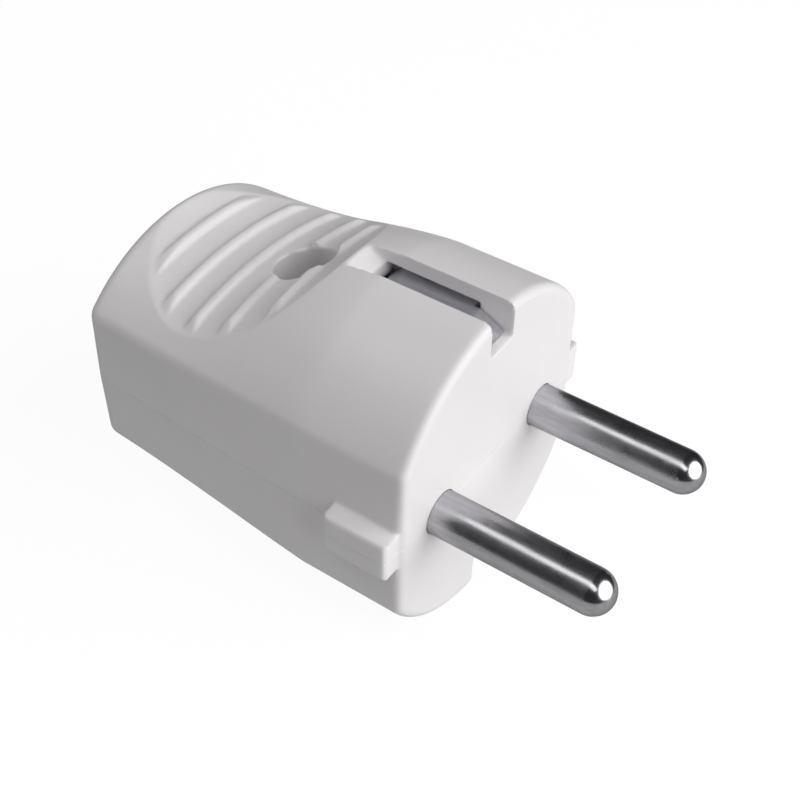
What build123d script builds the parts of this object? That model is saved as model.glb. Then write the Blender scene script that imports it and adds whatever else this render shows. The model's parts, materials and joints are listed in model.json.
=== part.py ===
from build123d import *
import math
import os

# A rewireable two-pin plug with side earth contacts, in millimetres.
# The origin is the middle of the mating face, halfway between the pins. X runs out along the pins,
# Y from the near pin to the far pin and Z up. The two shells part at Z = 0.
# A size that ends in BACK is a distance behind the mating face, and one that ends in FROM_TAIL
# is a distance from the rear end.

# Body outline
BODY_DIA = 37.5
FLAT_WIDTH = 32.7
FLAT_DRAFT = 1.5
FRONT_LENGTH = 12.5
BODY_LENGTH = 41.7
TAIL_WIDTH = 29.1
CORNER_ROUND = 1.8
FACE_ROUND = 0.9
TAIL_ROUND = 1.6

# Crown of the tapering rear: how far it drops below the round front, and its radius
SHOULDER_BACK = 20.0
SHOULDER_DROP = 1.25
SHOULDER_RADIUS = 18.9
WAIST_BACK = 30.0
WAIST_DROP = 3.75
WAIST_RADIUS = 21.0
TAIL_DROP = 4.1
TAIL_RADIUS = 19.5

# Shell walls and fits
WALL = 2.0
FACE_WALL = 2.6
TAIL_WALL = 2.5
PARTITION = 1.0
LIP_HEIGHT = 1.0
LIP_THICKNESS = 0.8
FIT = 0.05
OVERCUT = 1.0

# Guide rails on the flats
RAIL_SPAN = 37.0
RAIL_HEIGHT = 4.9
RAIL_LENGTH = 7.4
RAIL_BACK = 0.4
RAIL_ROUND = 0.5

# Finger grip: a round hollow with arc ribs that end just under the crown
GRIP_FROM_TAIL = 9.85
GRIP_DEPTH = 6.15
GRIP_SWEEP_RADIUS = 22.0
GRIP_CROWN_RADIUS = 40.0
RIB_COUNT = 5
RIB_PITCH = 4.08
RIB_RADIUS = 0.6
RIB_FIRST_FROM_TAIL = 4.75
RIB_SINK = 0.15
RIB_GAP = 0.2

# Pins and their terminals
PIN_DIA = 4.8
PIN_SPACING = 19.0
PIN_REACH = 19.3
PIN_ROOT_DIA = 4.4
COLLAR_DIA = 7.6
COLLAR_LENGTH = 2.0
NECK_DIA = 5.6
NECK_LENGTH = 2.2
TERMINAL_DIA = 7.0
TERMINAL_LENGTH = 9.0
TERMINAL_FLAT = 2.9
TERMINAL_GAP = 0.6
WIRE_HOLE_DIA = 3.0
WIRE_HOLE_DEPTH = 7.5
METAL_EDGE = 0.3

# Earth channel and the earth bow in it
CHANNEL_WIDTH = 3.9
CHANNEL_DEPTH = 4.25
CHANNEL_LENGTH = 17.1
CHANNEL_RAMP = 2.1
CHANNEL_LEDGE = 1.9
CHANNEL_LIP = 0.7
CONTACT_DEPTH = 2.35
CONTACT_THICKNESS = 0.8
CONTACT_WIDTH = 5.6
CONTACT_BEND = 1.2
CONTACT_HEADROOM = 0.5
CONTACT_GAP = 0.15
NOSE_BACK = 3.8
NOSE_DROP = 1.42
EARTH_LEG_GAP = 0.6
EARTH_COLLAR_DIA = 5.4
EARTH_COLLAR_LENGTH = 1.6
EARTH_WASHER_SIZE = 6.0
EARTH_WASHER_THICKNESS = 1.0

# Screws and nut
SCREW_DIA = 3.5
SCREW_HEAD_DIA = 5.8
SCREW_HEAD_HEIGHT = 1.9
TERMINAL_SCREW_LENGTH = 2.2
EARTH_SCREW_LENGTH = 4.4
CLAMP_SCREW_DIA = 2.9
CLAMP_HEAD_DIA = 5.2
CLAMP_SCREW_LENGTH = 10.0
HOUSING_HEAD_DIA = 6.0
HOUSING_HEAD_GAP = 0.3
HOUSING_SCREW_LENGTH = 16.0
HOUSING_POST_WALL = 1.2
HOUSING_POST_GAP = 1.8
HOUSING_SEAT = 6.4
SLOT_WIDTH = 0.9
SLOT_DEPTH = 0.9
NUT_WIDTH = 6.0
NUT_HEIGHT = 2.8

# Cable clamp and cable entry
CABLE_ENTRY_DIA = 8.5
CABLE_ENTRY_FLARE = 0.6
CABLE_ROOM_DIA = 9.0
CLAMP_FROM_TAIL = 6.7
CLAMP_SPACING = 15.2
CLAMP_POST_DIA = 6.0
CLAMP_LEVEL = 2.6
CLAMP_BAR_WIDTH = 5.0
CLAMP_BAR_THICKNESS = 3.6
CLAMP_BAR_ROUND = 0.6
CLAMP_BAR_CORNER = 1.7
CLAMP_SADDLE = 2.0

# Derived places
BODY_RADIUS = BODY_DIA / 2
SKY = 2 * BODY_DIA
SEAT_DEPTH = FACE_WALL + COLLAR_LENGTH + NECK_LENGTH
SEAT_HEIGHT = COLLAR_DIA / 2 + WALL
TERMINAL_END = SEAT_DEPTH + TERMINAL_LENGTH
TERMINAL_SCREW_BACK = SEAT_DEPTH + TERMINAL_LENGTH / 2
CONTACT_TOP = BODY_RADIUS - CONTACT_DEPTH
CONTACT_MIDDLE = CONTACT_TOP - CONTACT_THICKNESS / 2
CHANNEL_FLOOR = BODY_RADIUS - CHANNEL_DEPTH
LEDGE_BACK = CHANNEL_LENGTH - CHANNEL_RAMP
NOSE_TIP = (-CHANNEL_LIP - CONTACT_GAP - CONTACT_THICKNESS / 4, CONTACT_MIDDLE - NOSE_DROP)
NOSE_WIDTH = CHANNEL_WIDTH - 2 * CONTACT_GAP
LEG_BACK = LEDGE_BACK - EARTH_LEG_GAP - CONTACT_THICKNESS / 2
WASHER_BACK = LEG_BACK + CONTACT_THICKNESS / 2
EARTH_SEAT_BACK = WASHER_BACK + EARTH_WASHER_THICKNESS
EARTH_END = EARTH_SEAT_BACK + SCREW_HEAD_HEIGHT
PARTITION_INNER = CONTACT_WIDTH / 2 + PARTITION
HEAD_BORE_DIA = HOUSING_HEAD_DIA + 2 * HOUSING_HEAD_GAP
HOUSING_POST_DIA = HEAD_BORE_DIA + 2 * HOUSING_POST_WALL
HOUSING_BACK = EARTH_END + HOUSING_POST_GAP + HOUSING_POST_DIA / 2
CLAMP_BACK = BODY_LENGTH - CLAMP_FROM_TAIL
GRIP_BACK = BODY_LENGTH - GRIP_FROM_TAIL
GRIP_FLOOR = BODY_RADIUS - GRIP_DEPTH
GRIP_SWEEP_TOP = GRIP_FLOOR + GRIP_SWEEP_RADIUS
GRIP_AXIS = GRIP_FLOOR - GRIP_CROWN_RADIUS


def span(x0, x1, y0, y1, z0, z1):
    """A box between two corners."""
    return Pos((x0 + x1) / 2, (y0 + y1) / 2, (z0 + z1) / 2) * Box(x1 - x0, y1 - y0, z1 - z0)


def along_x(dia, back, front):
    """A round bar along X between two distances behind the face."""
    return Pos(-(back + front) / 2, 0, 0) * Rot(0, 90, 0) * Cylinder(dia / 2, back - front)


def at_post(z0, z1, dia):
    """An upright round bar on the housing screw's axis."""
    return Pos(-HOUSING_BACK, 0, (z0 + z1) / 2) * Cylinder(dia / 2, z1 - z0)


def half_width(back):
    """Half the width across the flats at the parting plane."""
    taper = max(0.0, back - FRONT_LENGTH) / (BODY_LENGTH - FRONT_LENGTH)
    return FLAT_WIDTH / 2 + taper * (TAIL_WIDTH - FLAT_WIDTH) / 2


def half_section(back, radius, drop, inset):
    """Upper half of the body's cross-section: two drafted flats under one crown arc."""
    width = half_width(back) - inset
    crown = BODY_RADIUS - drop - inset
    arc = radius - inset
    centre = crown - arc
    lean = math.tan(math.radians(FLAT_DRAFT))
    # where the leaning flat, y = width - lean * z, meets the crown arc
    a = 1 + lean ** 2
    b = width * lean + centre
    c = width ** 2 + centre ** 2 - arc ** 2
    z = (b + math.sqrt(b ** 2 - a * c)) / a
    y = width - lean * z
    sides = Polyline((-y, z), (-width, 0), (width, 0), (y, z))
    top = ThreePointArc((y, z), (0, crown), (-y, z))
    outline = make_face([sides, top])
    corners = outline.vertices().filter_by(lambda v: v.Y > z / 2)
    return Plane.YZ.offset(-back) * fillet(corners, CORNER_ROUND)


def half_blank(inset, front_back, rear_back):
    """Upper half of the body, set in by a wall, between two distances behind the face."""
    joint = half_section(FRONT_LENGTH, BODY_RADIUS, 0, inset)
    front = extrude(joint, FRONT_LENGTH - front_back, dir=(1, 0, 0))
    rear = loft([
        joint,
        half_section(SHOULDER_BACK, SHOULDER_RADIUS, SHOULDER_DROP, inset),
        half_section(WAIST_BACK, WAIST_RADIUS, WAIST_DROP, inset),
        half_section(BODY_LENGTH, TAIL_RADIUS, TAIL_DROP, inset),
    ])
    return front + rear - span(-SKY, -rear_back, -SKY, SKY, -SKY, SKY)


def grip_ring(back, height, radius):
    """A ring about the grip's low axis, which the upright middle plane cuts in a circle."""
    return Pos(-back, 0, GRIP_AXIS) * Rot(0, 90, 0) * Torus(height - GRIP_AXIS, radius)


def grip_ribs():
    """Half-round arcs across the floor of the grip."""
    crown = half_blank(RIB_SINK, 0, BODY_LENGTH)
    ribs = []
    for i in range(RIB_COUNT):
        back = BODY_LENGTH - RIB_FIRST_FROM_TAIL - i * RIB_PITCH
        height = GRIP_SWEEP_TOP - math.sqrt(GRIP_SWEEP_RADIUS ** 2 - (back - GRIP_BACK) ** 2)
        ribs.append(grip_ring(back, height, RIB_RADIUS) & crown)
    return ribs


def strip_outline(thickness):
    """Side view of the earth bow's strip: both noses, both arms and the leg that joins them."""
    half = [NOSE_TIP, (-NOSE_BACK, CONTACT_MIDDLE), (-LEG_BACK, CONTACT_MIDDLE)]
    other = [(x, -z) for x, z in reversed(half)]
    return Plane.XZ * trace(FilletPolyline(*half, *other, radius=CONTACT_BEND), thickness)


def earth_channel():
    """Open channel for the socket's earth spring: a lip at the face, a bed for the nose, a rear ramp."""
    bed = NOSE_TIP[1] - CONTACT_THICKNESS / 2 - CONTACT_GAP
    profile = Polyline(
        (OVERCUT, SKY), (OVERCUT, CHANNEL_FLOOR), (-CHANNEL_LIP, CHANNEL_FLOOR), (-CHANNEL_LIP, bed),
        (NOSE_TIP[0], bed), NOSE_TIP, (-NOSE_BACK, CONTACT_MIDDLE), (-LEDGE_BACK, CONTACT_MIDDLE),
        (-LEDGE_BACK, BODY_RADIUS - CHANNEL_LEDGE), (-CHANNEL_LENGTH, BODY_RADIUS - SHOULDER_DROP / 2),
        (-CHANNEL_LENGTH, SKY), (OVERCUT, SKY),
    )
    channel = extrude(Plane.XZ * make_face(profile), CHANNEL_WIDTH / 2, both=True)
    bed_outline = strip_outline(CONTACT_THICKNESS + 2 * CONTACT_GAP)
    return channel + extrude(bed_outline, CHANNEL_WIDTH / 2, both=True)


def guide_rails():
    """Upper halves of the two rails that key the plug into the socket's grooves."""
    reach = RAIL_SPAN / 2
    rail = span(-RAIL_BACK - RAIL_LENGTH, -RAIL_BACK, FLAT_WIDTH / 2 - WALL / 2, reach, 0, RAIL_HEIGHT / 2)
    outer = rail.edges().filter_by(lambda e: e.center().Y > reach - FIT and e.center().Z > FIT)
    rail = fillet(outer, RAIL_ROUND)
    return [rail, mirror(rail, Plane.XZ)]


def outer_half(recess, recess_dia):
    """Outside of the upper half, still solid, with the recess for the screw head or the nut."""
    body = half_blank(0, 0, BODY_LENGTH)
    tail = body.edges().filter_by(lambda e: e.center().X < FIT - BODY_LENGTH and e.center().Z > FIT)
    body = fillet(tail, TAIL_ROUND)
    face = body.edges().filter_by(lambda e: e.center().X > -FIT and e.center().Z > FIT)
    body = fillet(face, FACE_ROUND)
    body -= grip_ring(GRIP_BACK, GRIP_SWEEP_TOP, GRIP_SWEEP_RADIUS)
    body -= recess
    rim = at_post(0, SKY, recess_dia + 2 * RIB_GAP)
    for rib in grip_ribs():
        body += rib - rim
    body -= earth_channel()
    for rail in guide_rails():
        body += rail
    return body


def half_cavity():
    """Room inside the upper half, less the seats, partitions and posts that stay standing in it."""
    room = half_blank(WALL, FACE_WALL, BODY_LENGTH - TAIL_WALL)
    room -= grip_ring(GRIP_BACK, GRIP_SWEEP_TOP, GRIP_SWEEP_RADIUS + WALL)
    spine = PARTITION_INNER + PARTITION
    ramp_low = BODY_RADIUS - CHANNEL_LEDGE - WALL
    room -= span(-SEAT_DEPTH, 0, -SKY, SKY, -OVERCUT, SEAT_HEIGHT)
    room -= span(-SEAT_DEPTH, 0, -spine, spine, -OVERCUT, SKY)
    room -= span(-CHANNEL_LENGTH - WALL, -LEDGE_BACK, -spine, spine, ramp_low, SKY)
    for inner in (-spine, PARTITION_INNER):
        room -= span(-TERMINAL_END, -SEAT_DEPTH, inner, inner + PARTITION, -OVERCUT, SKY)
    room -= at_post(-SKY, SKY, HOUSING_POST_DIA)
    edge = CONTACT_WIDTH / 2 + 2 * CONTACT_GAP
    low = CONTACT_TOP - CONTACT_THICKNESS - WALL / 2
    return room + span(-LEDGE_BACK, -NOSE_BACK, -edge, edge, low, CONTACT_TOP + CONTACT_HEADROOM)


def pin_seats():
    """Stepped bores for both pins, and the bays that clear their terminals and terminal screws."""
    collar_end = FACE_WALL + COLLAR_LENGTH
    bay = TERMINAL_DIA / 2 + TERMINAL_GAP
    bay_top = TERMINAL_FLAT + SCREW_HEAD_HEIGHT + TERMINAL_GAP
    seat = along_x(PIN_DIA + 2 * FIT, FACE_WALL + FIT, -OVERCUT)
    seat += along_x(COLLAR_DIA + 2 * FIT, collar_end, FACE_WALL)
    seat += along_x(NECK_DIA + 2 * FIT, SEAT_DEPTH + FIT, collar_end - FIT)
    seat += span(-TERMINAL_END - TERMINAL_GAP, -SEAT_DEPTH, -bay, bay, -bay, bay_top)
    return [Pos(0, side * PIN_SPACING / 2, 0) * seat for side in (-1, 1)]


def cable_entry():
    """Round hole in the tail, flared outwards."""
    hole = along_x(CABLE_ENTRY_DIA, BODY_LENGTH + OVERCUT, BODY_LENGTH - TAIL_WALL - FIT)
    mouth = CABLE_ENTRY_DIA / 2 + CABLE_ENTRY_FLARE
    flare = Rot(0, -90, 0) * Cone(CABLE_ENTRY_DIA / 2, mouth, CABLE_ENTRY_FLARE)
    return hole + Pos(-BODY_LENGTH + CABLE_ENTRY_FLARE / 2, 0, 0) * flare


def lip_strips(height, outward):
    """Strips along both flats, on the inner edge of the wall, for the joint lip and its rebate."""
    rear = BODY_LENGTH - TAIL_WALL - CORNER_ROUND
    inner = [(-back, half_width(back) - WALL) for back in (SEAT_DEPTH + WALL, FRONT_LENGTH, rear)]
    outer = [(x, y + LIP_THICKNESS + outward) for x, y in reversed(inner)]
    strip = extrude(make_face(Polyline(*inner, *outer, inner[0])), height)
    return [strip, mirror(strip, Plane.XZ)]


def clamp_places():
    """Centres of the near and the far clamp screw."""
    return [Pos(-CLAMP_BACK, side * CLAMP_SPACING / 2, 0) for side in (-1, 1)]


def upper_shell():
    """Upper moulding, counterbored for the housing screw."""
    shell = outer_half(at_post(HOUSING_SEAT, SKY, HEAD_BORE_DIA), HEAD_BORE_DIA) - half_cavity()
    for seat in pin_seats():
        shell -= seat
    for rebate in lip_strips(LIP_HEIGHT + FIT, FIT):
        shell -= rebate
    shell -= cable_entry()
    return shell - at_post(-OVERCUT, HOUSING_SEAT + OVERCUT, SCREW_DIA + 2 * FIT)


def lower_shell():
    """Lower moulding with the nut pocket, the clamp posts, the cable saddle and the joint lip."""
    hexagon = RegularPolygon(NUT_WIDTH / 2 + FIT, 6, major_radius=False)
    pocket = Pos(-HOUSING_BACK, 0, HOUSING_SEAT) * extrude(hexagon, SKY)
    shell = mirror(outer_half(pocket, hexagon.bounding_box().size.X), Plane.XY)
    room = mirror(half_cavity(), Plane.XY)
    post = CLAMP_SPACING / 2
    saddle = span(-CLAMP_BACK - CLAMP_SADDLE / 2, -CLAMP_BACK + CLAMP_SADDLE / 2, -post, post, -SKY, 0)
    room -= saddle - along_x(CABLE_ROOM_DIA, BODY_LENGTH, HOUSING_BACK)
    for place in clamp_places():
        room -= place * Cylinder(CLAMP_POST_DIA / 2, 2 * SKY)
    shell -= room
    for seat in pin_seats():
        shell -= seat
    for lip in lip_strips(LIP_HEIGHT, 0):
        shell += lip
    shell -= cable_entry()
    depth = CLAMP_SCREW_LENGTH - CLAMP_BAR_THICKNESS + FIT
    for place in clamp_places():
        shell += place * Pos(0, 0, CLAMP_LEVEL / 2) * Cylinder(CLAMP_POST_DIA / 2, CLAMP_LEVEL)
        shell -= place * Pos(0, 0, CLAMP_LEVEL - depth / 2) * Cylinder(CLAMP_SCREW_DIA / 2 + FIT, depth)
    return shell - at_post(-HOUSING_SEAT - OVERCUT, OVERCUT, SCREW_DIA + 2 * FIT)


def contact_pin():
    """Turned pin: round nose, slimmer root in the face, collar, neck and a terminal head with its holes."""
    nose = PIN_DIA / 2
    collar_end = FACE_WALL + COLLAR_LENGTH
    pin = along_x(PIN_DIA, 0, nose - PIN_REACH) + Pos(PIN_REACH - nose, 0, 0) * Sphere(nose)
    pin += along_x(PIN_ROOT_DIA, FACE_WALL, 0)
    collar = along_x(COLLAR_DIA, collar_end, FACE_WALL)
    pin += chamfer(collar.edges().filter_by(GeomType.CIRCLE), METAL_EDGE)
    pin += along_x(NECK_DIA, SEAT_DEPTH, collar_end)
    head = along_x(TERMINAL_DIA, TERMINAL_END, SEAT_DEPTH)
    pin += chamfer(head.edges().filter_by(GeomType.CIRCLE), METAL_EDGE)
    pin -= span(-TERMINAL_END - OVERCUT, -SEAT_DEPTH, -SKY, SKY, TERMINAL_FLAT, SKY)
    pin -= along_x(WIRE_HOLE_DIA, TERMINAL_END + OVERCUT, TERMINAL_END - WIRE_HOLE_DEPTH)
    hole = Pos(-TERMINAL_SCREW_BACK, 0, SKY / 2) * Cylinder(SCREW_DIA / 2 + FIT, SKY)
    return pin - hole


def slotted_screw(dia, length, head_dia):
    """Cheese-head screw whose head stands on the origin and whose shank hangs below."""
    head = Pos(0, 0, SCREW_HEAD_HEIGHT / 2) * Cylinder(head_dia / 2, SCREW_HEAD_HEIGHT)
    rim = head.edges().filter_by(GeomType.CIRCLE).sort_by(Axis.Z)[-1]
    head = chamfer(rim, METAL_EDGE)
    head -= Pos(0, 0, SCREW_HEAD_HEIGHT - SLOT_DEPTH / 2) * Box(2 * head_dia, SLOT_WIDTH, SLOT_DEPTH)
    shank = Pos(0, 0, -length / 2) * Cylinder(dia / 2, length)
    tip = shank.edges().filter_by(GeomType.CIRCLE).sort_by(Axis.Z)[0]
    return head + chamfer(tip, METAL_EDGE)


def earth_bow():
    """One bent strip: both side contacts, the leg that joins them and its plunged screw collar."""
    bow = extrude(strip_outline(CONTACT_THICKNESS), CONTACT_WIDTH / 2, both=True)
    shoulder = NOSE_BACK + CONTACT_BEND / 2
    bow -= span(-shoulder, OVERCUT, NOSE_WIDTH / 2, SKY, -SKY, SKY)
    bow -= span(-shoulder, OVERCUT, -SKY, -NOSE_WIDTH / 2, -SKY, SKY)
    collar_front = LEG_BACK - CONTACT_THICKNESS / 2 - EARTH_COLLAR_LENGTH
    bow += along_x(EARTH_COLLAR_DIA, LEG_BACK, collar_front)
    return bow - along_x(SCREW_DIA + 2 * FIT, LEG_BACK + OVERCUT, collar_front - OVERCUT)


def earth_washer():
    """Square clamp washer between the leg and the head of the earth screw."""
    edge = EARTH_WASHER_SIZE / 2
    plate = span(-EARTH_SEAT_BACK, -WASHER_BACK, -edge, edge, -edge, edge)
    plate = fillet(plate.edges().filter_by(Axis.X), METAL_EDGE)
    return plate - along_x(SCREW_DIA + 2 * FIT, EARTH_SEAT_BACK + OVERCUT, WASHER_BACK - OVERCUT)


def clamp_bar():
    """Arched bar that presses the cable onto the saddle."""
    bar = Box(CLAMP_BAR_WIDTH, CLAMP_SPACING + CLAMP_POST_DIA, CLAMP_BAR_THICKNESS)
    bar = fillet(bar.edges().filter_by(Axis.Z), CLAMP_BAR_CORNER)
    bar = fillet(bar.faces().sort_by(Axis.Z)[-1].edges(), CLAMP_BAR_ROUND)
    bar = Pos(-CLAMP_BACK, 0, CLAMP_LEVEL + CLAMP_BAR_THICKNESS / 2) * bar
    bar -= along_x(CABLE_ROOM_DIA, BODY_LENGTH, HOUSING_BACK)
    for place in clamp_places():
        bar -= place * Cylinder(CLAMP_SCREW_DIA / 2 + FIT, SKY)
    return bar


def housing_nut():
    """Hexagon nut held in the lower shell's pocket."""
    nut = extrude(RegularPolygon(NUT_WIDTH / 2, 6, major_radius=False), NUT_HEIGHT)
    nut -= Cylinder(SCREW_DIA / 2 + FIT, SKY)
    return Pos(-HOUSING_BACK, 0, -HOUSING_SEAT - NUT_HEIGHT) * nut


def pieces():
    """Every piece by name, in place."""
    pin = contact_pin()
    terminal_screw = slotted_screw(SCREW_DIA, TERMINAL_SCREW_LENGTH, SCREW_HEAD_DIA)
    terminal_screw = Pos(-TERMINAL_SCREW_BACK, 0, TERMINAL_FLAT) * terminal_screw
    earth_screw = slotted_screw(SCREW_DIA, EARTH_SCREW_LENGTH, SCREW_HEAD_DIA)
    clamp_screw = slotted_screw(CLAMP_SCREW_DIA, CLAMP_SCREW_LENGTH, CLAMP_HEAD_DIA)
    clamp_screw = Pos(0, 0, CLAMP_LEVEL + CLAMP_BAR_THICKNESS) * clamp_screw
    housing_screw = slotted_screw(SCREW_DIA, HOUSING_SCREW_LENGTH, HOUSING_HEAD_DIA)
    near_pin = Pos(0, -PIN_SPACING / 2, 0)
    far_pin = Pos(0, PIN_SPACING / 2, 0)
    near_clamp, far_clamp = clamp_places()
    return {
        "upper_shell": upper_shell(),
        "lower_shell": lower_shell(),
        "near_pin": near_pin * pin,
        "far_pin": far_pin * pin,
        "near_terminal_screw": near_pin * terminal_screw,
        "far_terminal_screw": far_pin * terminal_screw,
        "earth_bow": earth_bow(),
        "earth_clamp_washer": earth_washer(),
        "earth_screw": Pos(-EARTH_SEAT_BACK, 0, 0) * Rot(0, -90, 0) * earth_screw,
        "cable_clamp_bar": clamp_bar(),
        "near_clamp_screw": near_clamp * clamp_screw,
        "far_clamp_screw": far_clamp * clamp_screw,
        "housing_screw": Pos(-HOUSING_BACK, 0, HOUSING_SEAT) * housing_screw,
        "housing_nut": housing_nut(),
    }


os.makedirs("parts", exist_ok=True)
for node, piece in pieces().items():
    export_step(piece, "parts/" + node + ".step")
    print(node, "solids", len(piece.solids()), "volume", round(piece.volume, 1))
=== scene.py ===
# %% [markdown]
# A white mains plug, dressed in Blender.
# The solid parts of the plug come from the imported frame, in metres, already in their places.
# X runs out along the pins, Y from the near pin to the far pin, and Z points up.
# This lesson sets up the picture, gives every piece its finish, and softens the moulded edges.

# %% Open the frame
import json
import math

import bmesh
import bpy
from mathutils import Matrix, Vector


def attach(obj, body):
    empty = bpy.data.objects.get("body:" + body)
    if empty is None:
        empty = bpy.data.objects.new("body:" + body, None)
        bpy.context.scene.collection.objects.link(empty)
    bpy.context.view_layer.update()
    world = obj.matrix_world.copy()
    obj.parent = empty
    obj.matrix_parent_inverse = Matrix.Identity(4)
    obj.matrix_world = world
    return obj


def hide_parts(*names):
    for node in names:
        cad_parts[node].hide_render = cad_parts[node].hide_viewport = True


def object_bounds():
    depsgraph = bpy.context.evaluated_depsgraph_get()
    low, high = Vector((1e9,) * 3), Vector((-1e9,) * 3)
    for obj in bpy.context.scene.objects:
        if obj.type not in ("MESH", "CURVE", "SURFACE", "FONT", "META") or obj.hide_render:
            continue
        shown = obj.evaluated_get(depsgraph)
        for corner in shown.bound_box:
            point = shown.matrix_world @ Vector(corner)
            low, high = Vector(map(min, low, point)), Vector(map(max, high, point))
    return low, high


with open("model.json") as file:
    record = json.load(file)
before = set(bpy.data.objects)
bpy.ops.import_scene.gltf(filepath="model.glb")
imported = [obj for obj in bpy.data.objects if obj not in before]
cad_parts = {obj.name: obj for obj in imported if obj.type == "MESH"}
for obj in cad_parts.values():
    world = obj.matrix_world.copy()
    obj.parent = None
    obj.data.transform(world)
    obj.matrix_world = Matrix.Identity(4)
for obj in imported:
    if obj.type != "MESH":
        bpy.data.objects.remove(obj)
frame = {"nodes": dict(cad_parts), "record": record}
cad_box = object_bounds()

MM = 0.001
nodes = frame["nodes"]
print("pieces in the frame:", sorted(nodes))

# %% [markdown]
# The camera stands in front of the mating face, to the side and above, and looks down on the plug.
# It could be placed by hand, but a plug has sizes that everyone knows: two pins, 19 mm apart.
# So its two angles, small roll, distance, aim and lens were fitted to the pins and the face, and the
# camera is put together here from those few numbers.

# %% Set up the camera
VIEW_AZIMUTH = math.radians(33.75)
VIEW_ELEVATION = math.radians(42.97)
VIEW_ROLL = math.radians(1.51)
VIEW_DISTANCE = 135.4 * MM
FOCAL_PIXELS = 1322.6
PICTURE_PIXELS = 800
SENSOR_WIDTH = 36
NEAREST_SEEN = 10 * MM
AIM_RIGHT = -9.39 * MM
AIM_UP = 5.69 * MM

level = Vector((math.cos(VIEW_AZIMUTH), math.sin(VIEW_AZIMUTH), 0))
towards_camera = Vector((
    math.sin(VIEW_AZIMUTH) * math.cos(VIEW_ELEVATION),
    -math.cos(VIEW_AZIMUTH) * math.cos(VIEW_ELEVATION),
    math.sin(VIEW_ELEVATION),
))
upright = towards_camera.cross(level)
picture_right = math.cos(VIEW_ROLL) * level + math.sin(VIEW_ROLL) * upright
picture_up = math.cos(VIEW_ROLL) * upright - math.sin(VIEW_ROLL) * level
aim = AIM_RIGHT * picture_right + AIM_UP * picture_up

camera_data = bpy.data.cameras.new("picture_camera")
camera_data.sensor_width = SENSOR_WIDTH
camera_data.lens = FOCAL_PIXELS / PICTURE_PIXELS * SENSOR_WIDTH
camera_data.clip_start = NEAREST_SEEN
camera = bpy.data.objects.new("picture_camera", camera_data)
turn = Matrix((picture_right, picture_up, towards_camera)).transposed().to_4x4()
camera.matrix_world = Matrix.Translation(aim + VIEW_DISTANCE * towards_camera) @ turn
bpy.context.scene.collection.objects.link(camera)
bpy.context.scene.camera = camera
print("camera at", [round(v / MM, 1) for v in camera.location], "mm")
print("lens", round(camera_data.lens, 2), "mm")

# %% [markdown]
# A product picture like this is taken on a pale table, with a pale sweep of paper behind it.
# Both are round here, so that no corner of them can show from another side.
# A round piece could be a ready-made disc that is pushed into shape. Turning a profile about the
# upright axis, as on a lathe, is simpler: it gives any round form from a few points.

# %% Find the floor and make a lathe
FLOOR_LEVEL = cad_box[0][2]


def lathe(name, profile, steps):
    """Turns a profile of (radius, height) points about Z, closed at its start, with smooth faces."""
    vertices = []
    for radius, height in profile:
        for k in range(steps):
            angle = 2 * math.pi * k / steps
            vertices.append((radius * math.cos(angle), radius * math.sin(angle), height))
    faces = []
    for ring in range(len(profile) - 1):
        for k in range(steps):
            a = ring * steps + k
            b = ring * steps + (k + 1) % steps
            faces.append((a, a + steps, b + steps, b))
    faces.append(range(steps))
    mesh = bpy.data.meshes.new(name)
    mesh.from_pydata(vertices, [], faces)
    mesh.shade_smooth()
    piece = bpy.data.objects.new(name, mesh)
    bpy.context.scene.collection.objects.link(piece)
    return piece


print("floor at", round(FLOOR_LEVEL / MM, 2), "mm")

# %% [markdown]
# Two surfaces share the work of the floor. The sweep is what the camera sees: a wide pale bowl.
# The table lies just under it and is what the plug sees: a grey sheet that throws some light back up.
# One white floor could do both, but it would light the sides of the plug far too strongly.
# Both are matt and of one shade, and glow by themselves, so that they look evenly lit.

# %% Lay the table and the pale sweep
SWEEP_RADIUS = 3.0
SWEEP_HEIGHT = 2.0
SWEEP_HUB = 0.1 * SWEEP_RADIUS
SWEEP_FLAT = 0.5 * SWEEP_RADIUS
SWEEP_BENDS = 12
SWEEP_STEPS = 96
SWEEP_SHADE = (0.10, 0.10, 0.10)
SWEEP_GLOW = 0.93
TABLE_RADIUS = 0.14
TABLE_DROP = 0.1 * MM
TABLE_STEPS = 48
TABLE_SHADE = (0.40, 0.40, 0.40)
TABLE_GLOW = 0.20


def new_finish(name):
    """A new finish, with its node tree and its shader."""
    finish = bpy.data.materials.new(name)
    finish.use_nodes = True
    tree = finish.node_tree
    return finish, tree, tree.nodes["Principled BSDF"]


def plain_finish(name, shade, glow):
    """A matt finish of one shade that may give off a little light of its own."""
    finish, _, shader = new_finish(name)
    shader.inputs["Base Color"].default_value = (*shade, 1)
    shader.inputs["Roughness"].default_value = 1.0
    shader.inputs["Specular IOR Level"].default_value = 0.0
    shader.inputs["Emission Color"].default_value = (1, 1, 1, 1)
    shader.inputs["Emission Strength"].default_value = glow
    return finish


bowl = [(SWEEP_HUB, FLOOR_LEVEL), (SWEEP_FLAT, FLOOR_LEVEL)]
for step in range(1, SWEEP_BENDS + 1):
    bend = math.radians(90 * step / SWEEP_BENDS)
    radius = SWEEP_FLAT + (SWEEP_RADIUS - SWEEP_FLAT) * math.sin(bend)
    bowl.append((radius, FLOOR_LEVEL + SWEEP_HEIGHT * (1 - math.cos(bend))))
sweep = lathe("sweep", bowl, SWEEP_STEPS)
sweep.data.materials.append(plain_finish("sweep_paper", SWEEP_SHADE, SWEEP_GLOW))
for ray in ("visible_diffuse", "visible_glossy", "visible_shadow"):
    setattr(sweep, ray, False)

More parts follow.
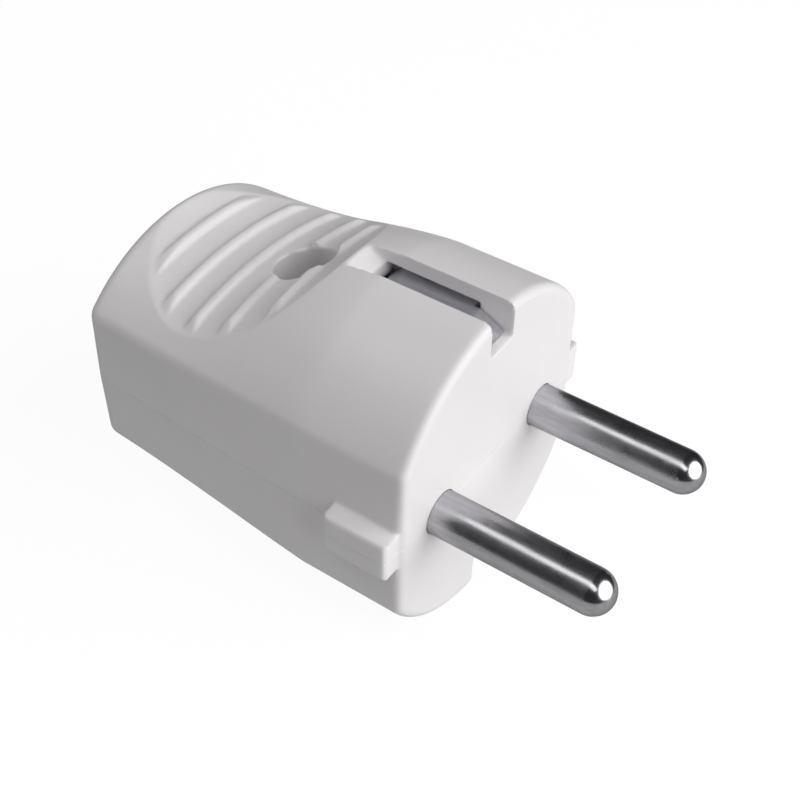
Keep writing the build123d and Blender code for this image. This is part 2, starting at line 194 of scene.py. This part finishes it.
table_level = FLOOR_LEVEL - TABLE_DROP
table = lathe("table", [(TABLE_RADIUS / 2, table_level), (TABLE_RADIUS, table_level)], TABLE_STEPS)
table.data.materials.append(plain_finish("table_sheet", TABLE_SHADE, TABLE_GLOW))
table.visible_camera = False
print("sweep", SWEEP_RADIUS, "m and table", TABLE_RADIUS, "m in radius")

# %% [markdown]
# Bare bulbs could light the plug, but they would leave hard shadows, so broad softboxes are hung.
# A large round one stands in front of the pins, a little above the table: the mating face is the
# brightest side of the plug, the top is greyer, and the long near side is in half shade. It is round
# because the polished noses of the pins mirror it. A long dim strip overhead draws the pale line
# along each pin, and a dim panel behind lifts the tail. The room itself is dark, because the pins
# show it too, and their dark bands are what makes them look like metal.

# %% Hang the lights
ROOM_SHADE = (0.03, 0.03, 0.032, 1)


def softbox(name, shape, direction, distance, width, height, power):
    """A broad lamp that faces the plug from a direction."""
    lamp_data = bpy.data.lights.new(name, "AREA")
    lamp_data.shape = shape
    lamp_data.size = width
    lamp_data.size_y = height
    lamp_data.energy = power
    lamp = bpy.data.objects.new(name, lamp_data)
    way = Vector(direction).normalized()
    lamp.location = aim + distance * way
    lamp.rotation_euler = way.to_track_quat("Z", "Y").to_euler()
    bpy.context.scene.collection.objects.link(lamp)


softbox("front_softbox", "ELLIPSE", direction=(0.88, 0.16, 0.44),
        distance=0.60, width=0.90, height=0.80, power=5.0)
softbox("overhead_strip", "RECTANGLE", direction=(-0.10, -0.33, 0.94),
        distance=0.60, width=0.90, height=0.20, power=1.03)
softbox("rear_panel", "RECTANGLE", direction=(-0.90, -0.05, 0.40),
        distance=0.70, width=1.50, height=0.55, power=1.4)
room = bpy.data.worlds.new("dark_room")
room.use_nodes = True
room.node_tree.nodes["Background"].inputs["Color"].default_value = ROOM_SHADE
bpy.context.scene.world = room
bpy.context.scene.view_settings.view_transform = "Standard"
print("lamps:", [lamp.name for lamp in bpy.data.lights])

# %% [markdown]
# No real surface is quite even. Its colour, its shine and its height all change a little from place
# to place, and each change has its own size. A photo of a surface could be wrapped round the piece,
# but its seams would show. Noise needs no wrapping: it fills the space that the piece stands in.
# Four small tools make it, and turn it into colours, into a range of roughness and into bumps.

# %% Make the tools for an uneven surface
PLUG_LENGTH = cad_box[1][0] - cad_box[0][0]


def noise(tree, place, scale, detail):
    """Noise at a number of blotches per metre, in the plug's own frame."""
    node = tree.nodes.new("ShaderNodeTexNoise")
    node.inputs["Scale"].default_value = scale
    node.inputs["Detail"].default_value = detail
    tree.links.new(place.outputs["Object"], node.inputs["Vector"])
    return node.outputs["Fac"]


def ramp(tree, factor, stops, colours):
    """Turns a factor into a blend of two colours, from the first stop to the second."""
    node = tree.nodes.new("ShaderNodeValToRGB")
    for element, position, colour in zip(node.color_ramp.elements, stops, colours):
        element.position = position
        element.color = (*colour, 1)
    tree.links.new(factor, node.inputs["Fac"])
    return node.outputs["Color"]


def spread(tree, factor, low, high):
    """Maps a factor of 0 to 1 onto a range."""
    node = tree.nodes.new("ShaderNodeMapRange")
    node.inputs["To Min"].default_value = low
    node.inputs["To Max"].default_value = high
    tree.links.new(factor, node.inputs["Value"])
    return node.outputs["Result"]


def bumps(tree, shader, height, distance, strength):
    """Raises the surface by a height map."""
    node = tree.nodes.new("ShaderNodeBump")
    node.inputs["Distance"].default_value = distance
    node.inputs["Strength"].default_value = strength
    tree.links.new(height, node.inputs["Height"])
    tree.links.new(node.outputs["Normal"], shader.inputs["Normal"])


print("100 blotches per metre are", round(100 * PLUG_LENGTH, 1), "along the plug")

# %% [markdown]
# The shells are moulded in white plastic with a satin skin. Real mouldings are never one even
# colour: the skin is a little blotchy where the plastic flowed, shines unevenly, and is very finely
# grained from the mould. One flat white would look like paper, so three sizes of noise give the
# blotches, the uneven shine and the grain. The clamp inside is of a slightly warmer white.

# %% Mix the white plastic
BLOTCHES_PER_METRE = 90
BLOTCH_STOPS = (0.3, 0.7)
SHINE_PATCHES_PER_METRE = 400
SATIN_LOW = 0.34
SATIN_HIGH = 0.46
GRAINS_PER_METRE = 3500
GRAIN_HEIGHT = 0.01 * MM
GRAIN_STRENGTH = 0.25
PLASTIC_IOR = 1.49


def white_plastic(name, pale, dull):
    """Satin white plastic between two near shades."""
    finish, tree, shader = new_finish(name)
    place = tree.nodes.new("ShaderNodeTexCoord")
    flow = noise(tree, place, BLOTCHES_PER_METRE, detail=3)
    tree.links.new(ramp(tree, flow, BLOTCH_STOPS, (dull, pale)), shader.inputs["Base Color"])
    shine = noise(tree, place, SHINE_PATCHES_PER_METRE, detail=4)
    tree.links.new(spread(tree, shine, SATIN_LOW, SATIN_HIGH), shader.inputs["Roughness"])
    grain = noise(tree, place, GRAINS_PER_METRE, detail=2)
    bumps(tree, shader, grain, GRAIN_HEIGHT, GRAIN_STRENGTH)
    shader.inputs["IOR"].default_value = PLASTIC_IOR
    return finish


shell_plastic = white_plastic("shell_plastic", pale=(0.86, 0.84, 0.845), dull=(0.83, 0.81, 0.815))
clamp_plastic = white_plastic("clamp_plastic", pale=(0.80, 0.78, 0.76), dull=(0.76, 0.74, 0.72))
print("plastics:", shell_plastic.name, clamp_plastic.name)

# %% [markdown]
# A pin is pushed into sockets and pulled out again all its life. That draws fine lines along its
# straight shank and leaves the shank dull, while the round nose hardly rubs and keeps its polish.
# The pin could be cut in two, with a finish for each part, but then a hard ring would show.
# So one finish follows X: noise is drawn out along it, and past the end of the shank the roughness
# drops to the nose's within a short blend.

# %% Make the tools for worn plating
PIN_RADIUS = 2.4 * MM
PIN_TIP = cad_box[1][0]
SHANK_END = PIN_TIP - PIN_RADIUS
NOSE_BLEND = 0.3 * MM


def streaks(tree, place, scale, stretch):
    """Noise drawn out along X."""
    drawn = tree.nodes.new("ShaderNodeMapping")
    drawn.inputs["Scale"].default_value = (1 / stretch, 1, 1)
    tree.links.new(place.outputs["Object"], drawn.inputs["Vector"])
    lines = tree.nodes.new("ShaderNodeTexNoise")
    lines.inputs["Scale"].default_value = scale
    tree.links.new(drawn.outputs["Vector"], lines.inputs["Vector"])
    return lines.outputs["Fac"]


def polish_beyond(tree, place, satin, start, polish):
    """A roughness that drops from satin to a polish where X passes a start."""
    parts = tree.nodes.new("ShaderNodeSeparateXYZ")
    tree.links.new(place.outputs["Object"], parts.inputs["Vector"])
    node = tree.nodes.new("ShaderNodeMapRange")
    node.inputs["From Min"].default_value = start
    node.inputs["From Max"].default_value = start + NOSE_BLEND
    node.inputs["To Max"].default_value = polish
    tree.links.new(parts.outputs["X"], node.inputs["Value"])
    tree.links.new(satin, node.inputs["To Min"])
    return node.outputs["Result"]


print("the straight shanks end at", round(SHANK_END / MM, 2), "mm")

# %% [markdown]
# The pins are nickel plated, the earth strip has a paler plating and the screws are zinc plated.
# One even roughness would make them all look like new chrome. Instead, long streaks of tarnish
# colour them, soft clouds vary their shine, and very fine lines run along them.
# Metal is brightest at its edges, but here they would be too white, so their tint is held down.

# %% Plate the pins and the earth strip
EDGE_TINT = (0.55, 0.55, 0.56, 1)
TARNISH_PER_METRE = 2200
TARNISH_STRETCH = 7
TARNISH_STOPS = (0.35, 0.65)
CLOUDS_PER_METRE = 600
LINES_PER_METRE = 5000
LINE_STRETCH = 30
LINE_HEIGHT = 0.003 * MM
LINE_STRENGTH = 0.2


def plated_metal(name, bright, dull, low, high, nose_polish=None):
    """Satin plating, cloudy and tarnished lengthwise, with a polished nose if asked for."""
    finish, tree, shader = new_finish(name)
    place = tree.nodes.new("ShaderNodeTexCoord")
    tarnish = streaks(tree, place, TARNISH_PER_METRE, TARNISH_STRETCH)
    tree.links.new(ramp(tree, tarnish, TARNISH_STOPS, (dull, bright)), shader.inputs["Base Color"])
    rough = spread(tree, noise(tree, place, CLOUDS_PER_METRE, detail=2), low, high)
    lines = streaks(tree, place, LINES_PER_METRE, LINE_STRETCH)
    bumps(tree, shader, lines, LINE_HEIGHT, LINE_STRENGTH)
    if nose_polish:
        rough = polish_beyond(tree, place, rough, SHANK_END, nose_polish)
    tree.links.new(rough, shader.inputs["Roughness"])
    shader.inputs["Metallic"].default_value = 1.0
    shader.inputs["Specular Tint"].default_value = EDGE_TINT
    return finish


nickel = plated_metal("nickel_plating", bright=(0.57, 0.568, 0.59), dull=(0.48, 0.478, 0.50),
                      low=0.22, high=0.36, nose_polish=0.19)
earth_plating = plated_metal("earth_plating", bright=(0.72, 0.725, 0.76), dull=(0.64, 0.645, 0.68),
                             low=0.25, high=0.45)
zinc = plated_metal("zinc_plating", bright=(0.64, 0.64, 0.65), dull=(0.56, 0.56, 0.57),
                    low=0.20, high=0.35)
print("metals:", nickel.name, earth_plating.name, zinc.name)

# %% [markdown]
# A maker would sort the loose pieces into trays and finish each tray in one go.
# The record already sorts them: every node names the slot of its finish. Picking finishes node by
# node would work too, but by slot a new screw would get its plating without another line here.

# %% Give every piece its finish
finish_of_slot = {
    "shell": shell_plastic,
    "pin": nickel,
    "earth": earth_plating,
    "screw": zinc,
    "clamp": clamp_plastic,
}
for subpart in frame["record"]["subparts"]:
    piece = nodes[subpart["node"]]
    piece.data.materials.clear()
    piece.data.materials.append(finish_of_slot[subpart["material_slot"]])
    print(piece.name, "has", piece.data.materials[0].name)

# %% [markdown]
# No edge of a real moulding is sharp: the mould itself is worn round by a few tenths of a millimetre.
# The frame's shells have sharp edges along the grip, the ribs and the earth channel.
# A bevel would have to be picked edge by edge. Here the surface of a shell is laid again in small
# even squares instead, and smoothing then rounds every edge alike.

# %% Make the tools that soften a shell
SKIN_SQUARE = 0.2 * MM
SOFT_PASSES = 2
SOFT_FACTOR = 0.5


def edit(mesh, change):
    """Makes one change to a mesh, in place."""
    work = bmesh.new()
    work.from_mesh(mesh)
    change(work)
    work.to_mesh(mesh)
    work.free()
    return mesh


def as_modified(mesh, name, kind, **settings):
    """What a modifier makes of a mesh."""
    piece = bpy.data.objects.new(name, mesh)
    bpy.context.scene.collection.objects.link(piece)
    modifier = piece.modifiers.new(name, kind)
    for setting, value in settings.items():
        setattr(modifier, setting, value)
    graph = bpy.context.evaluated_depsgraph_get()
    made = bpy.data.meshes.new_from_object(piece.evaluated_get(graph))
    bpy.data.objects.remove(piece)
    return made


def even_skin(mesh, name):
    """Lays the surface of a mesh again in small even squares."""
    return as_modified(mesh, name + "_squares", "REMESH", mode="VOXEL", voxel_size=SKIN_SQUARE)


def wear_edges(work):
    """Smooths every edge a little."""
    for _ in range(SOFT_PASSES):
        bmesh.ops.smooth_vert(work, verts=work.verts, factor=SOFT_FACTOR,
                              use_axis_x=True, use_axis_y=True, use_axis_z=True)


print("squares of", round(SKIN_SQUARE / MM, 2), "mm, smoothed", SOFT_PASSES, "times")

# %% [markdown]
# The two shells meet in a fine straight line, and the squares cannot follow such an edge: it would
# come out as a row of dashes. So each shell is lengthened past the joint before it is softened, and
# cut off flat afterwards, a hair short of the parting plane so that the line shows.
# The lower shell's joint lip and clamp posts really do stand past the joint. They would be lost in
# the cut, so they are taken from the frame as they are, on short feet, to be united with the shell.

# %% Make the tools for the joint
TINY = 0.001 * MM
SPARE_LENGTH = 1.2 * MM
JOINT_GAP = 0.06 * MM
FOOT = 0.3 * MM


def weld(work):
    """Joins the points that lie on each other."""
    bmesh.ops.remove_doubles(work, verts=work.verts, dist=TINY)


def lengthen_past_joint(work, up):
    """Draws the flat joint face of a shell out past the parting plane."""
    joint = [face for face in work.faces if all(abs(v.co.z) < TINY for v in face.verts)]
    drawn = bmesh.ops.extrude_face_region(work, geom=joint)["geom"]
    ends = [part for part in drawn if isinstance(part, bmesh.types.BMVert)]
    bmesh.ops.translate(work, verts=ends, vec=(0, 0, -up * SPARE_LENGTH))


def cut_and_close(work, height, keep):
    """Cuts a mesh flat at a height, keeps the side that the sign of keep points to, and closes it."""
    everything = work.verts[:] + work.edges[:] + work.faces[:]
    cut = bmesh.ops.bisect_plane(work, geom=everything, dist=TINY, clear_inner=True,
                                 plane_co=(0, 0, height), plane_no=(0, 0, keep))
    rim = [part for part in cut["geom_cut"] if isinstance(part, bmesh.types.BMEdge)]
    bmesh.ops.triangle_fill(work, edges=rim, use_beauty=True)
    bmesh.ops.recalc_face_normals(work, faces=work.faces)
    return rim


def new_mesh(work, name):
    """Turns finished work into a mesh."""
    mesh = bpy.data.meshes.new(name)
    work.to_mesh(mesh)
    work.free()
    return mesh


def parts_past_joint(node, name, up):
    """What a shell carries past the parting plane, on short feet that reach back into the shell."""
    work = bmesh.new()
    work.from_mesh(nodes[node].data)
    weld(work)
    rim = cut_and_close(work, -up * JOINT_GAP, -up)
    for foot in {v for edge in rim for v in edge.verts}:
        foot.co.z = up * FOOT
    return new_mesh(work, name)


print("the joint is cut", round(JOINT_GAP / MM, 2), "mm wide")

# %% [markdown]
# The pins fit their holes closely, and the squares would leave a ragged dark ring round them.
# The rims could be left out of the smoothing, but the squares alone already make them ragged.
# So the mouths of the holes are plugged before the softening and drilled again after it,
# at the pins' own size and fit.

# %% Make the tools for the pin holes
PIN_SPACING = 19 * MM
PIN_FIT = 0.05 * MM
HOLE_RADIUS = PIN_RADIUS + PIN_FIT
PLUG_DEPTH = 1.5 * MM
PLUG_OVERLAP = 0.3 * MM
ROUND_STEPS = 96


def pin_rods(name, radius, back, front, up=0):
    """Round rods on both pins' axes, between two places along X; up keeps only that half of them."""
    work = bmesh.new()
    along_x = Matrix.Rotation(math.pi / 2, 4, "Y")
    for side in (-1, 1):
        middle = Matrix.Translation(((back + front) / 2, side * PIN_SPACING / 2, 0))
        bmesh.ops.create_cone(work, cap_ends=True, segments=ROUND_STEPS, radius1=radius,
                              radius2=radius, depth=front - back, matrix=middle @ along_x)
    if up:
        cut_and_close(work, 0, up)
    return new_mesh(work, name)


def combine(first, second, operation, name):
    """One closed mesh out of two, as their union or as the first less the second."""
    tool = bpy.data.objects.new(name + "_tool", second)
    bpy.context.scene.collection.objects.link(tool)
    made = as_modified(first, name, "BOOLEAN", operation=operation, solver="MANIFOLD", object=tool)
    bpy.data.objects.remove(tool)
    return made


print("pin holes of", round(2 * HOLE_RADIUS / MM, 2), "mm,", round(PIN_SPACING / MM, 2), "mm apart")

# %% [markdown]
# Now the tools are used in order: plug, lengthen, lay the squares, smooth, cut, unite, drill.
# Smooth shading would smear the cut and drilled edges, so edges that turn sharply stay sharp.
# Each softened shell takes the place of the frame's own shell and must be closed all round.

# %% Soften both shells
SHARP_ANGLE = math.radians(50)


def softened(node, name, up):
    """The mesh of a shell with its edges worn round, up being the side of the joint it lies on."""
    mesh = edit(nodes[node].data.copy(), weld)
    plugs = pin_rods(name + "_plugs", HOLE_RADIUS + PLUG_OVERLAP, -PLUG_DEPTH, 0, up)
    mesh = combine(mesh, plugs, "UNION", name)
    edit(mesh, lambda work: lengthen_past_joint(work, up))
    skin = edit(even_skin(mesh, name), wear_edges)
    edit(skin, lambda work: cut_and_close(work, up * JOINT_GAP / 2, up))
    past = parts_past_joint(node, name + "_past", up)
    if past.polygons:
        skin = combine(skin, past, "UNION", name)
    drill = pin_rods(name + "_drill", HOLE_RADIUS, -PLUG_DEPTH - PLUG_OVERLAP, PLUG_DEPTH)
    return combine(skin, drill, "DIFFERENCE", name)


def count_open_edges(mesh):
    """How many edges do not lie between exactly two faces."""
    work = bmesh.new()
    work.from_mesh(mesh)
    count = sum(1 for edge in work.edges if not edge.is_manifold)
    work.free()
    return count


def soft_moulding(node, name, up):
    """A softened copy of a shell, which takes the shell's place."""
    skin = softened(node, name, up)
    skin.shade_smooth()
    skin.set_sharp_from_angle(angle=SHARP_ANGLE)
    skin.materials.clear()
    skin.materials.append(shell_plastic)
    moulding = bpy.data.objects.new(name, skin)
    bpy.context.scene.collection.objects.link(moulding)
    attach(moulding, "root")
    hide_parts(node)
    print(name, "has", len(skin.polygons), "faces and", count_open_edges(skin), "open edges")


soft_moulding("upper_shell", "upper_moulding", 1)
soft_moulding("lower_shell", "lower_moulding", -1)
